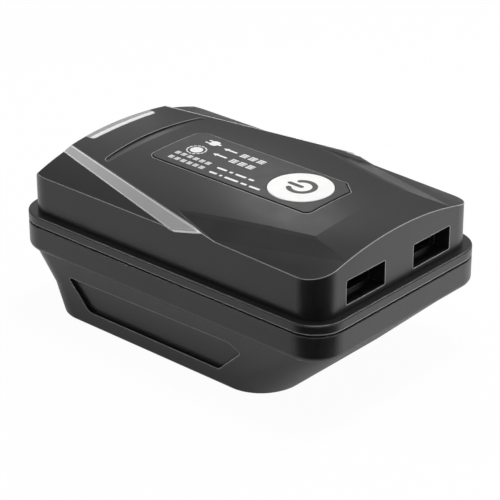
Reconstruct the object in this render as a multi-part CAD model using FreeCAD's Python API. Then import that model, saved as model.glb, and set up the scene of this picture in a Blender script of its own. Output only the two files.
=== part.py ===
# Battery adapter: a two-part moulded housing that slides onto a cordless tool's pack.
# It gives two USB-A outlets at the front (-Y) and a work light at the rear (+Y).
# Millimetres, +Z up, origin at the bottom centre of the housing's flange outline.
import FreeCAD
import Part
import math
import os

V = FreeCAD.Vector

# Channel for the pack's slide head, open below and at the rear
HEAD_HALF_X = 26.3
RAIL_REACH = 3.3
RAIL_HEIGHT = 4.2
ARM_WALL = 2.0
CHANNEL_CORNER = 3.0
NOSE_WALL = 2.6
NOSE_FRONT_WALL = 1.4 * NOSE_WALL
NOSE_FLOOR_Z = 6.0
NOSE_CORNER = 2.0

# Outline of the closed housing; the widths follow from the channel outwards
KEEL_FLARE = 3.9
KEEL_INSET = 1.3
FLANGE_HALF_X = HEAD_HALF_X + ARM_WALL + KEEL_FLARE + KEEL_INSET
FLANGE_HALF_Y = 53.0
FLANGE_CORNER = 9.0
FLANGE_BOTTOM_Z = 19.6
HOUSING_RIM = 7.3
COVER_RIM = 3.1
SHUT_LINE_Z = FLANGE_BOTTOM_Z + HOUSING_RIM
FLANGE_TOP_Z = SHUT_LINE_Z + COVER_RIM
FLANGE_EDGE_ROUND = 0.5
FLANGE_UNDER_ROUND = 1.6
SHUT_GAP = 0.65
SHUT_DEPTH = 0.8
LEDGE = 2.4
WALL_CORNER = 7.0
WALL_HALF_X = FLANGE_HALF_X - LEDGE
WALL_HALF_Y = FLANGE_HALF_Y - LEDGE

# Crown of the upper cover: a low dome with a raised hexagonal plateau
CROWN_RISE = 15.65
PLATEAU_RISE = 0.45
DOME_APEX_Z = FLANGE_TOP_Z + CROWN_RISE
DOME_RADIUS = 102.0
DOME_SWELL_RADIUS = 131.0
PLATEAU_APEX_Z = DOME_APEX_Z + PLATEAU_RISE
PLATEAU_RADIUS = 170.0
FRONT_FACET_Y = -WALL_HALF_Y + 12.5
REAR_BEVEL_Y = WALL_HALF_Y - 3.4
REAR_BEVEL_DEG = 50.0
REAR_BEVEL_RADIUS = 85.0

# Side bevels that carry the strips: stations of y, then x of the upper and lower edge there
STRIP_TIP_Y = -WALL_HALF_Y + 38.6
STRIP_STATIONS = (WALL_HALF_Y - 3.1, STRIP_TIP_Y)
STRIP_UPPER_X = (WALL_HALF_X - 13.2, WALL_HALF_X + 0.17)
STRIP_LOWER_X = (WALL_HALF_X - 11.12, WALL_HALF_X + 2.38)
STRIP_DEPTH = 0.45
STRIP_PROUD = 0.12
BEVEL_OVERRUN = (10.0, 7.0)

# Front bevels, cut between the plateau and the flank of the ridge behind each strip's tip
FRONT_BEVEL_START = (WALL_HALF_X - 4.0, STRIP_TIP_Y + 10.7)
FRONT_BEVEL_END = (WALL_HALF_X - 13.1, FRONT_FACET_Y)
FRONT_BEVEL_DEG = 19.3
FRONT_BEVEL_LIP = 0.5
FRONT_BEVEL_LIP_DEG = 13.8
RIDGE_FLANK_RISE = 0.35
RIDGE_FLANK_FALL = 0.22

# Finger scoop across the plateau
SCOOP_HALF_X = 19.0
SCOOP_FRONT_Y = WALL_HALF_Y - 19.25
SCOOP_WIDTH = 3.3
SCOOP_DEPTH = 0.42
SCOOP_BOW_RADIUS = 130.0

# Walls
COVER_WALL = 2.2
COVER_ROOF = 2.4
HOUSING_WALL = 3.0
DECK_DROP = 1.1
DECK_THICKNESS = 2.4
DECK_TOP_Z = FLANGE_BOTTOM_Z - DECK_DROP
DECK_BOTTOM_Z = DECK_TOP_Z - DECK_THICKNESS

# Keel below the flange: half widths, and y of the front and rear faces at three heights
KEEL_MID_Z = FLANGE_BOTTOM_Z / 2
KEEL_BOTTOM_HALF_X = HEAD_HALF_X + ARM_WALL
KEEL_TOP_HALF_X = KEEL_BOTTOM_HALF_X + KEEL_FLARE
KEEL_FRONT_Y = (-FLANGE_HALF_Y + 22.0, -FLANGE_HALF_Y + 1.2)
KEEL_REAR_Y = (FLANGE_HALF_Y - 7.4, FLANGE_HALF_Y - 5.9, FLANGE_HALF_Y - 0.8)
KEEL_FRONT_CORNER = 12.0
KEEL_REAR_CORNER = 9.0
KEEL_EDGE_ROUND = 1.2
KEEL_OVERLAP = 0.9

# Shallow grip panel on each side of the keel: y of its corners, heights, corner radii
GRIP_REAR_Y = (FLANGE_HALF_Y - 17.2, FLANGE_HALF_Y - 22.8)
GRIP_FRONT_Y = (-FLANGE_HALF_Y + 36.6, -FLANGE_HALF_Y + 27.6, -FLANGE_HALF_Y + 31.4)
GRIP_BOTTOM_Z = 5.0
GRIP_TOP_Z = FLANGE_BOTTOM_Z - 4.2
GRIP_CORNERS = ((GRIP_REAR_Y[0], GRIP_TOP_Z - 1.1), (GRIP_REAR_Y[1], GRIP_BOTTOM_Z),
                (GRIP_FRONT_Y[0], GRIP_BOTTOM_Z), (GRIP_FRONT_Y[1], GRIP_TOP_Z - 2.0),
                (GRIP_FRONT_Y[2], GRIP_TOP_Z))
GRIP_RADII = (0.6, 2.4, 1.4, 0.6, 1.5)
GRIP_DEPTH_TOP = 0.7
GRIP_DEPTH_BOTTOM = 1.3

# Places along the channel
RAIL_GAP_HALF_X = HEAD_HALF_X - RAIL_REACH
RAIL_LEAD_IN_Y = FLANGE_HALF_Y - 12.6
CHANNEL_SETBACK = 25.4
CHANNEL_FRONT_Y = -FLANGE_HALF_Y + CHANNEL_SETBACK

# Pocket in the deck for the pack's latch
LATCH_HALF_X = 9.0
LATCH_Y = (FLANGE_HALF_Y - 15.5, FLANGE_HALF_Y - 9.5)
LATCH_DEPTH = 4.6
LATCH_WALL = 1.6

# USB-A outlets
USB_PITCH_HALF = 13.13
USB_MOUTH_WIDTH = 15.0
USB_MOUTH_HEIGHT = 6.6
USB_MOUTH_CORNER = 0.4
USB_MOUTH_BOTTOM_Z = FLANGE_TOP_Z + 1.7
USB_RECESS = 4.35
USB_TUNNEL = 5.0
USB_COLLAR_WALL = 1.4
USB_SHELL_WIDTH = 13.2
USB_SHELL_HEIGHT = 5.9
USB_SHELL_LENGTH = 14.0
USB_SHELL_CORNER = 0.6
USB_SHEET = 0.35
USB_FLARE = 0.6
USB_TONGUE_WIDTH = 11.1
USB_TONGUE_HEIGHT = 1.84
USB_TONGUE_SETBACK = 0.7
USB_TONGUE_LIFT = 0.15
USB_TONGUE_CHAMFER = 0.4
USB_BLOCK_LENGTH = 2.6
USB_CONTACTS = 4
USB_CONTACT_PITCH = 2.3
USB_CONTACT_WIDTH = 1.1
USB_CONTACT_LENGTH = 8.0
USB_CONTACT_SETBACK = 0.8
USB_CONTACT_THICKNESS = 0.25

# Push button with a dished face, its switch and the label plate around it
BUTTON_Y = -WALL_HALF_Y + 32.15
BUTTON_RADIUS = 8.65
BUTTON_GAP = 0.15
BUTTON_RIM_Z = PLATEAU_APEX_Z + 0.25
BUTTON_DISH = 0.2
BUTTON_TRAVEL = 0.3
BUTTON_FLANGE_RADIUS = 9.75
BUTTON_FLANGE = 1.2
BUTTON_EDGE_ROUND = 0.25
BUTTON_RIB = 1.2
BUTTON_STOP_Z = PLATEAU_APEX_Z - 4.3
BUTTON_SKIN = 1.6
BUTTON_STEM_RADIUS = 3.6
BUTTON_STEM_DROP = 1.0
BUTTON_COLLAR_WALL = 2.2
LABEL_HALF_X = 10.2
LABEL_Y = (-WALL_HALF_Y + 21.3, WALL_HALF_Y - 25.6)
LABEL_THICKNESS = 0.8
LABEL_PROUD = 0.2
LABEL_GROOVE = 0.35
LABEL_CUT = (4.0, 4.7)
LABEL_FRONT_ROUND = 1.8
LABEL_REAR_ROUND = 2.3
LABEL_CUT_ROUND = 0.4
SWITCH_SIZE = 12.0
SWITCH_BODY_HEIGHT = 4.3
SWITCH_CHAMFER = 0.6
PLUNGER_RADIUS = 3.3
PLUNGER_GAP = 0.06
PLUNGER_SINK = 1.6
PLUNGER_CHAMFER = 0.3

# Light lens in the rear top edge
LENS_HALF_X = 12.0
LENS_FRONT_Y = WALL_HALF_Y - 6.6
LENS_CORNER = 1.0
LENS_HEIGHT = 5.5
LENS_BOTTOM_Z = PLATEAU_APEX_Z - LENS_HEIGHT
LENS_SKIN = 1.8
LENS_TOP_SKIN = 2.1
LENS_LEDGE = 0.8

# Boards
BOARD_THICKNESS = 1.6
BOARD_HALF_X = WALL_HALF_X - COVER_WALL - 1.3
BOARD_Y = (-WALL_HALF_Y + USB_TUNNEL + 0.2, WALL_HALF_Y - 21.1)
BOARD_CORNER = 2.0
POST_RADIUS = 2.8
POST_X = BOARD_HALF_X - 3.0
POST_Y = (BUTTON_Y + 14.5, BOARD_Y[1] - 5.0)
LED_BOARD_THICKNESS = 1.2
LED_BOARD_HALF_X = LENS_HALF_X + 0.7
LED_BOARD_RIB = 1.4
LED_BOARD_RIB_LEAD = 1.5
LED_BOARD_DROP = 3.4
LED_BOARD_HEIGHT = 6.2
LED_BOARD_Z = (LENS_BOTTOM_Z - LED_BOARD_DROP, LENS_BOTTOM_Z - LED_BOARD_DROP + LED_BOARD_HEIGHT)
LED_SIZE = 4.0
LED_BODY_HEIGHT = 3.0
LED_HEIGHT = 1.4
LED_DISH = 0.4
LED_PITCH = 7.6
LED_COUNT = 3

# Terminal block and its blades
BLOCK_HALF_X = 17.0
BLOCK_LENGTH = 14.0
BLOCK_SETBACK = 3.0
BLOCK_Y = (CHANNEL_FRONT_Y + BLOCK_SETBACK, CHANNEL_FRONT_Y + BLOCK_SETBACK + BLOCK_LENGTH)
BLOCK_BOTTOM_Z = RAIL_HEIGHT + 2.0
BLOCK_CORNER = 0.8
BLOCK_FLANGE = 2.0
BLOCK_FLANGE_RIM = 2.2
BLOCK_FLANGE_CORNER = 1.5
BLADE_X = 11.5
BLADE_WIDTH = 6.3
BLADE_THICKNESS = 0.8
BLADE_REACH = 11.0
BLADE_DROP = 1.8
BLADE_Z = DECK_BOTTOM_Z - BLADE_DROP - BLADE_WIDTH
BLADE_TAIL_WIDTH = 5.0
BLADE_TAIL_RISE = 4.0

# Screws and clearances
SCREW_RADIUS = 1.3
SCREW_HEAD_RADIUS = 2.6
SCREW_HEAD_HEIGHT = 1.8
SCREW_HEAD_ROUND = 0.63
SCREW_RECESS = 0.8
SCREW_RECESS_ARM = 1.56
SCREW_RECESS_HALF_WIDTH = 0.3
CASE_SCREW_X = 22.0
CASE_SCREW_Y = (-WALL_HALF_Y + 31.1, WALL_HALF_Y - 17.6)
CASE_SCREW_LENGTH = 10.0
CASE_SCREW_COVER = 0.8
BOARD_SCREW_LENGTH = 6.0
CASE_BOSS_RADIUS = 3.2
CASE_BOSS_JOINT_Z = DECK_TOP_Z + 3.0
TERMINAL_SCREW_X = BLOCK_HALF_X + 4.6
TERMINAL_SCREW_Y = BLOCK_Y[1] - 1.0
TERMINAL_SCREW_LENGTH = 3.8
FIT = 0.05
SEAT_GAP = 0.3
BOSS_HOLE_GAP = 0.5

# Parts below the board, and the leads
CHIP_HALF_X = 2.5
CHIP_LENGTH = 6.2
CHIP_HEIGHT = 1.5
CHIP_Y = BUTTON_Y + 9.0
INDUCTOR_HALF = 6.0
INDUCTOR_HEIGHT = 6.5
INDUCTOR_CHAMFER = 1.6
INDUCTOR_Y = CHIP_Y + CHIP_LENGTH + 1.3 + INDUCTOR_HALF
CAPACITOR_Y = BUTTON_Y + 24.5
CAPACITOR_POST_GAP = 0.5
INPUT_CAPACITOR = {"radius": 4.0, "length": 13.0}
OUTPUT_CAPACITOR = {"radius": 3.15, "length": 9.0}
CAPACITOR_NECK_RADIUS = 0.6
WIRE_RADIUS = 0.9
WIRE_BEND = 0.8
WIRE_SHIFT = (2.4, 3.2, 1.6)
LED_WIRE_RADIUS = 0.5
LED_WIRE_BEND = 1.2
LED_WIRE_X = 2.0
LED_WIRE_RUN = 8.0
LED_WIRE_RISE = 1.6
LED_WIRE_INSET = 3.0
LED_WIRE_END_RISE = 2.0

# Sizes that follow from the ones above
USB_MID_Z = USB_MOUTH_BOTTOM_Z + USB_MOUTH_HEIGHT / 2
USB_FACE_Y = -WALL_HALF_Y + USB_RECESS
BOARD_TOP_Z = USB_MID_Z - USB_SHELL_HEIGHT / 2
BOARD_BOTTOM_Z = BOARD_TOP_Z - BOARD_THICKNESS
SWITCH_TOP_Z = BOARD_TOP_Z + SWITCH_BODY_HEIGHT
BUTTON_FOOT_Z = BUTTON_STOP_Z - BUTTON_FLANGE
LABEL_TOP_Z = PLATEAU_APEX_Z + LABEL_PROUD
CEILING_APEX_Z = DOME_APEX_Z - COVER_ROOF
CEILING_RADIUS = DOME_RADIUS - COVER_ROOF

# Cutters and blanks: how far they run past the part, and small overlaps that fuse cleanly
FAR = 80.0
ARCH_MARGIN = 5.0
ROOF_OVERLAP = 0.5


def box(x0, x1, y0, y1, z0, z1):
    return Part.makeBox(x1 - x0, y1 - y0, z1 - z0, V(x0, y0, z0))


def cylinder(x, y, z0, z1, radius):
    return Part.makeCylinder(radius, z1 - z0, V(x, y, z0))


def corner_path(points, radii):
    """A closed wire through points, each corner rounded by its radius."""
    edges = []
    starts = []
    ends = []
    count = len(points)
    for i in range(count):
        here = points[i]
        before = (points[i - 1] - here).normalize()
        after = (points[(i + 1) % count] - here).normalize()
        half_turn = before.getAngle(after) / 2
        reach = radii[i] / math.tan(half_turn)
        to_middle = (before + after).normalize()
        middle = here + to_middle * (radii[i] / math.sin(half_turn) - radii[i])
        starts.append(here + before * reach)
        ends.append(here + after * reach)
        if radii[i] > 0:
            edges.append((i, Part.Arc(starts[i], middle, ends[i]).toShape()))
    path = []
    arcs = dict(edges)
    for i in range(count):
        if i in arcs:
            path.append(arcs[i])
        path.append(Part.LineSegment(ends[i], starts[(i + 1) % count]).toShape())
    return Part.Wire(path)


def rectangle_path(half_x, y0, y1, z, front_round, rear_round):
    points = [V(-half_x, y0, z), V(half_x, y0, z), V(half_x, y1, z), V(-half_x, y1, z)]
    return corner_path(points, [front_round, front_round, rear_round, rear_round])


def rounded_prism(half_x, y0, y1, z0, z1, corner):
    face = Part.Face(rectangle_path(half_x, y0, y1, z0, corner, corner))
    return face.extrude(V(0, 0, z1 - z0))


def flat_prism(points, direction):
    """A straight prism on a flat outline given by its corners."""
    return Part.Face(Part.makePolygon(points + [points[0]])).extrude(direction)


def ridge(apex_z, radius, y0=-FAR, y1=FAR):
    """The space under a crown that is curved across X and straight along Y."""
    return Part.makeCylinder(radius, y1 - y0, V(0, y0, apex_z - radius), V(0, 1, 0))


def mirrored(shape):
    return shape.mirror(V(0, 0, 0), V(1, 0, 0))


def both_sides(shape):
    return [shape, mirrored(shape)]


def edges_at_height(shape, z, tolerance=0.01):
    """The edges that lie flat at one height."""
    return [e for e in shape.Edges
            if abs(e.BoundBox.ZMin - z) < tolerance and abs(e.BoundBox.ZMax - z) < tolerance]


def crown_z(apex_z, radius, x):
    """Height of a crown that is curved across X."""
    return apex_z - radius + math.sqrt(radius ** 2 - x ** 2)


def on_plateau(x, y):
    return V(x, y, crown_z(PLATEAU_APEX_Z, PLATEAU_RADIUS, x))


def at_station(xs, apex_z, radius, y):
    """Where a bevel's edge, straight in plan between its two stations, crosses y."""
    share = (y - STRIP_STATIONS[0]) / (STRIP_STATIONS[1] - STRIP_STATIONS[0])
    ends = [V(x, 0, crown_z(apex_z, radius, x)) for x in xs]
    return ends[0] + (ends[1] - ends[0]) * share


def bevel_frame(y):
    """Upper edge, down-slope direction and outward direction of the side bevel at y."""
    upper = at_station(STRIP_UPPER_X, PLATEAU_APEX_Z, PLATEAU_RADIUS, y)
    lower = at_station(STRIP_LOWER_X, DOME_APEX_Z, DOME_RADIUS, y)
    down = (lower - upper).normalize()
    outward = V(-down.z, 0, down.x)
    return upper, lower, down, outward


def bevel_span():
    return (STRIP_TIP_Y - BEVEL_OVERRUN[0], WALL_HALF_Y + BEVEL_OVERRUN[1])


def station_wire(points, y):
    lifted = [V(p.x, y, p.z) for p in points]
    return Part.makePolygon(lifted + [lifted[0]])


def above_bevel():
    """The space outside the side bevel of the plateau, to be cut away."""
    wires = []
    for y in bevel_span():
        upper, lower, down, outward = bevel_frame(y)
        top = upper - down * (FAR / 4)
        foot = lower + down * (FAR / 4)
        lift = outward * (FAR / 2)
        wires.append(station_wire([top, foot, foot + lift, top + lift], y))
    return Part.makeLoft(wires, True, True)


def bevel_plate(depth, proud, margin):
    """A plate on the side bevel, from depth below it to proud above it."""
    wires = []
    for y in bevel_span():
        upper, lower, down, outward = bevel_frame(y)
        a = upper - down * margin
        b = lower + down * margin
        wires.append(station_wire([a - outward * depth, b - outward * depth,
                                   b + outward * proud, a + outward * proud], y))
    return Part.makeLoft(wires, True, True)


def above_plane(point, rise_x, rise_y):
    """The space above a plane through a point, given by its rise along X and along Y."""
    corners = [(0, -FAR), (FAR, -FAR), (FAR, FAR), (0, FAR)]
    face = [V(x, y, point.z + (x - point.x) * rise_x + (y - point.y) * rise_y) for x, y in corners]
    return flat_prism(face, V(0, 0, 2 * FAR))


def above_front_bevel(fall_deg, inset):
    """The notch between a plane through two points of the plateau's edge and the ridge's flank."""
    start = on_plateau(FRONT_BEVEL_START[0] - inset, FRONT_BEVEL_START[1])
    end = on_plateau(FRONT_BEVEL_END[0] - inset, FRONT_BEVEL_END[1])
    fall = -math.tan(math.radians(fall_deg))
    along = (end.z - start.z - fall * (end.x - start.x)) / (end.y - start.y)
    flank = above_plane(on_plateau(*FRONT_BEVEL_START), RIDGE_FLANK_RISE, RIDGE_FLANK_FALL)
    return above_plane(start, fall, along).common(flank)


def arch_wire(y, apex_z, radius):
    """The outline of the space above an arch across X."""
    half = FLANGE_HALF_X + ARCH_MARGIN
    side_z = crown_z(apex_z, radius, half)
    arc = Part.Arc(V(-half, y, side_z), V(0, y, apex_z), V(half, y, side_z)).toShape()
    frame = Part.makePolygon([V(half, y, side_z), V(half, y, FAR), V(-half, y, FAR), V(-half, y, side_z)])
    return Part.Wire([arc] + frame.Edges)


def above_arches(stations):
    """The space above a surface ruled between two arches, each (y, apex height, radius)."""
    return Part.makeLoft([arch_wire(*station) for station in stations], True, True)


def above_front_facet():
    """The facet from the plateau's front edge down to the front wall's arched top."""
    return above_arches([(FRONT_FACET_Y, PLATEAU_APEX_Z, PLATEAU_RADIUS),
                         (-WALL_HALF_Y, DOME_APEX_Z, DOME_RADIUS)])


def behind_rear_bevel(inset=0):
    """The space behind the bevel that follows the crown across the rear edge."""
    run = 12.0
    rise = run * math.tan(math.radians(REAR_BEVEL_DEG))
    wire = arch_wire(REAR_BEVEL_Y - inset - run, PLATEAU_APEX_Z + rise, REAR_BEVEL_RADIUS)
    return Part.Face(wire).extrude(V(0, 2 * run, -2 * rise))


def rear_bevel_y(x, z):
    """Where the rear bevel lies at a height z."""
    drop = crown_z(PLATEAU_APEX_Z, REAR_BEVEL_RADIUS, x) - z
    return REAR_BEVEL_Y + drop / math.tan(math.radians(REAR_BEVEL_DEG))


def crown():
    """Outer form of the upper cover above its flange."""
    walls = rounded_prism(WALL_HALF_X, -WALL_HALF_Y, WALL_HALF_Y, SHUT_LINE_Z, FAR, WALL_CORNER)
    walls = walls.cut(behind_rear_bevel())
    low = walls.common(ridge(DOME_APEX_Z, DOME_RADIUS))
    front = walls.common(box(-FAR, FAR, -FAR, STRIP_TIP_Y, 0, FAR))
    front = front.cut(above_arches([(-WALL_HALF_Y, DOME_APEX_Z, DOME_RADIUS),
                                    (STRIP_TIP_Y, DOME_APEX_Z, DOME_SWELL_RADIUS)]))
    high = walls.common(ridge(PLATEAU_APEX_Z, PLATEAU_RADIUS)).cut(above_front_facet())
    cutters = [above_bevel(), above_front_bevel(FRONT_BEVEL_DEG, 0),
               above_front_bevel(FRONT_BEVEL_LIP_DEG, FRONT_BEVEL_LIP)]
    for cutter in cutters:
        for side in both_sides(cutter):
            high = high.cut(side)
    return low.fuse([front, high]).removeSplitter()


def scoop():
    """Cutter for the shallow finger scoop, its floor falling towards the rear."""
    centre_y = SCOOP_FRONT_Y - SCOOP_BOW_RADIUS
    outer = cylinder(0, centre_y, 0, FAR, SCOOP_BOW_RADIUS + SCOOP_WIDTH)
    inner = cylinder(0, centre_y, 0, FAR, SCOOP_BOW_RADIUS)
    band = outer.cut(inner).common(box(-SCOOP_HALF_X, SCOOP_HALF_X, 0, FAR, 0, FAR))
    ends = [e for e in band.Edges if abs(abs(e.CenterOfMass.x) - SCOOP_HALF_X) < 0.01
            and e.BoundBox.ZLength > 5 and e.CenterOfMass.y > SCOOP_FRONT_Y]
    band = band.makeFillet(SCOOP_WIDTH * 0.5, ends)
    floor = ridge(PLATEAU_APEX_Z, PLATEAU_RADIUS)
    pivot = V(0, SCOOP_FRONT_Y, PLATEAU_APEX_Z)
    floor.rotate(pivot, V(1, 0, 0), -math.degrees(math.atan2(SCOOP_DEPTH, SCOOP_WIDTH)))
    return band.cut(floor)


def usb_positions():
    return [-USB_PITCH_HALF, USB_PITCH_HALF]


def slot_prism(x, width, height, y0, y1, corner):
    """A rounded rectangular prism that runs along Y, centred on the outlets' height."""
    half_w = width / 2
    z0 = USB_MID_Z - height / 2
    z1 = USB_MID_Z + height / 2
    points = [V(x - half_w, y0, z0), V(x + half_w, y0, z0), V(x + half_w, y0, z1), V(x - half_w, y0, z1)]
    return Part.Face(corner_path(points, [corner] * 4)).extrude(V(0, y1 - y0, 0))


def case_boss_places():
    return [(side * CASE_SCREW_X, y) for y in CASE_SCREW_Y for side in (-1, 1)]


def board_post_places():
    return [(side * POST_X, y) for y in POST_Y for side in (-1, 1)]


def lens_window(gap):
    """The window in the rear top edge: a wide step above, a narrower throat below."""
    half_x = LENS_HALF_X + gap
    step_z = PLATEAU_APEX_Z - LENS_TOP_SKIN - gap
    outline = rectangle_path(half_x, LENS_FRONT_Y - gap, FAR, step_z, LENS_CORNER + gap, 0)
    step = Part.Face(outline).extrude(V(0, 0, FAR - step_z))
    throat = box(-half_x, half_x, LENS_FRONT_Y + LENS_LEDGE, FAR, LENS_BOTTOM_Z - gap, step_z)
    return step.fuse(throat)


def make_upper_cover(outer):
    flange = rounded_prism(FLANGE_HALF_X, -FLANGE_HALF_Y, FLANGE_HALF_Y,
                           SHUT_LINE_Z + SHUT_GAP, FLANGE_TOP_Z, FLANGE_CORNER)
    flange = flange.makeFillet(FLANGE_EDGE_ROUND, edges_at_height(flange, FLANGE_TOP_Z))
    foot = rounded_prism(FLANGE_HALF_X - SHUT_DEPTH, -FLANGE_HALF_Y + SHUT_DEPTH,
                         FLANGE_HALF_Y - SHUT_DEPTH, SHUT_LINE_Z, FLANGE_TOP_Z - 1, FLANGE_CORNER - SHUT_DEPTH)
    cover = outer.fuse([flange, foot])
    inner = rounded_prism(WALL_HALF_X - COVER_WALL, -WALL_HALF_Y + COVER_WALL,
                          WALL_HALF_Y - COVER_WALL, 0, FAR, WALL_CORNER - COVER_WALL)
    cover = cover.cut(inner.common(ridge(CEILING_APEX_Z, CEILING_RADIUS)))
    room = inner.common(ridge(CEILING_APEX_Z + ROOF_OVERLAP, CEILING_RADIUS + ROOF_OVERLAP))

    added = []
    for x in usb_positions():
        collar = slot_prism(x, USB_MOUTH_WIDTH + 2 * USB_COLLAR_WALL, USB_MOUTH_HEIGHT + 2 * USB_COLLAR_WALL,
                            -WALL_HALF_Y + 1, -WALL_HALF_Y + USB_TUNNEL, USB_COLLAR_WALL)
        added.append(collar)
    for x, y in case_boss_places():
        added.append(cylinder(x, y, CASE_BOSS_JOINT_Z, FAR, CASE_BOSS_RADIUS).common(room))
    collar_radius = BUTTON_RADIUS + BUTTON_GAP + BUTTON_COLLAR_WALL
    added.append(cylinder(0, BUTTON_Y, BUTTON_STOP_Z, FAR, collar_radius).common(room))
    rib_in = LENS_HALF_X + FIT
    rib_out = LED_BOARD_HALF_X + LED_BOARD_RIB
    for side in (-1, 1):
        x0, x1 = sorted((side * rib_in, side * rib_out))
        rib = box(x0, x1, led_board_front_y() - LED_BOARD_RIB_LEAD, WALL_HALF_Y - 1, LED_BOARD_Z[0], FAR)
        added.append(rib.common(room))
    cover = cover.fuse(added)

    removed = [scoop(), lens_window(FIT), label_pocket()]
    removed.append(cylinder(0, BUTTON_Y, 0, FAR, BUTTON_RADIUS + BUTTON_GAP))
    for x in usb_positions():
        removed.append(slot_prism(x, USB_MOUTH_WIDTH, USB_MOUTH_HEIGHT, -WALL_HALF_Y - 1,
                                  -WALL_HALF_Y + USB_TUNNEL + 1, USB_MOUTH_CORNER))
    for x, y in case_boss_places():
        removed.append(cylinder(x, y, CASE_BOSS_JOINT_Z - 1, case_screw_tip_z() + 1, SCREW_RADIUS + FIT))
    removed.append(box(-LED_BOARD_HALF_X - FIT, LED_BOARD_HALF_X + FIT, led_board_front_y() - FIT,
                       led_board_front_y() + LED_BOARD_THICKNESS + FIT,
                       LED_BOARD_Z[0] - 1, LED_BOARD_Z[1] + FIT))
    removed.extend(both_sides(bevel_plate(STRIP_DEPTH + FIT, 5, FIT)))
    for cutter in removed:
        cover = cover.cut(cutter)
    return cover.removeSplitter()


def make_trim_strip():
    """The strip on the +X bevel; its tip wraps on to the side wall and stops at the flank."""
    plate = bevel_plate(STRIP_DEPTH, STRIP_PROUD, 0)
    reach = rounded_prism(WALL_HALF_X + STRIP_PROUD, -WALL_HALF_Y, WALL_HALF_Y + STRIP_PROUD,
                          SHUT_LINE_Z, FAR, WALL_CORNER)
    strip = plate.common(reach).cut(behind_rear_bevel())
    strip = strip.common(ridge(PLATEAU_APEX_Z + STRIP_PROUD, PLATEAU_RADIUS + STRIP_PROUD))
    return strip.cut(above_front_bevel(FRONT_BEVEL_DEG, 0))


def keel_half_x(z):
    return KEEL_BOTTOM_HALF_X + z / FLANGE_BOTTOM_Z * (KEEL_TOP_HALF_X - KEEL_BOTTOM_HALF_X)


def keel_front_y(z):
    bottom, top = KEEL_FRONT_Y
    return bottom + z / FLANGE_BOTTOM_Z * (top - bottom)


def keel_rear_y(z):
    bottom, middle, top = KEEL_REAR_Y
    if z < KEEL_MID_Z:
        return bottom + z / KEEL_MID_Z * (middle - bottom)
    return middle + (z - KEEL_MID_Z) / (FLANGE_BOTTOM_Z - KEEL_MID_Z) * (top - middle)


def keel():
    """The tapered hull below the flange, its nose raked back and its stern stepped in."""
    wires = []
    for z in (0, KEEL_MID_Z, FLANGE_BOTTOM_Z + KEEL_OVERLAP):
        wires.append(rectangle_path(keel_half_x(z), keel_front_y(z), keel_rear_y(z), z,
                                    KEEL_FRONT_CORNER, KEEL_REAR_CORNER))
    hull = Part.makeLoft(wires, True, True)
    return hull.makeFillet(KEEL_EDGE_ROUND, edges_at_height(hull, 0))


def grip_panel():
    """Cutter for the shallow panel on the +X side of the keel."""
    points = [V(0, y, z) for y, z in GRIP_CORNERS]
    outline = Part.Face(corner_path(points, list(GRIP_RADII))).extrude(V(FAR, 0, 0))
    floor = [V(keel_half_x(GRIP_BOTTOM_Z) - GRIP_DEPTH_BOTTOM, -FAR, GRIP_BOTTOM_Z - 1),
             V(keel_half_x(GRIP_TOP_Z) - GRIP_DEPTH_TOP, -FAR, GRIP_TOP_Z + 1),
             V(FAR, -FAR, GRIP_TOP_Z + 1), V(FAR, -FAR, GRIP_BOTTOM_Z - 1)]
    return outline.common(flat_prism(floor, V(0, 2 * FAR, 0)))


def nose_well():
    """The hollow between the raked nose and the channel's front wall, open above."""
    wires = []
    for z in (NOSE_FLOOR_Z, DECK_TOP_Z + 1):
        wires.append(rectangle_path(keel_half_x(z) - 2 * NOSE_WALL, keel_front_y(z) + NOSE_FRONT_WALL,
                                    CHANNEL_FRONT_Y - NOSE_WALL, z, NOSE_CORNER, NOSE_CORNER / 2))
    return Part.makeLoft(wires, True, True)


def rail_lead_in():
    """Cutter that slants the +X rail's rear end, so that a pack finds its way in."""
    x0 = RAIL_GAP_HALF_X - 1
    x1 = HEAD_HALF_X + 1.5
    y0 = RAIL_LEAD_IN_Y - 1
    points = [V(x0, y0, -1), V(x1, y0 + x1 - x0, -1), V(x1, FAR, -1), V(x0, FAR, -1)]
    return flat_prism(points, V(0, 0, RAIL_HEIGHT + 2))


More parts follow.
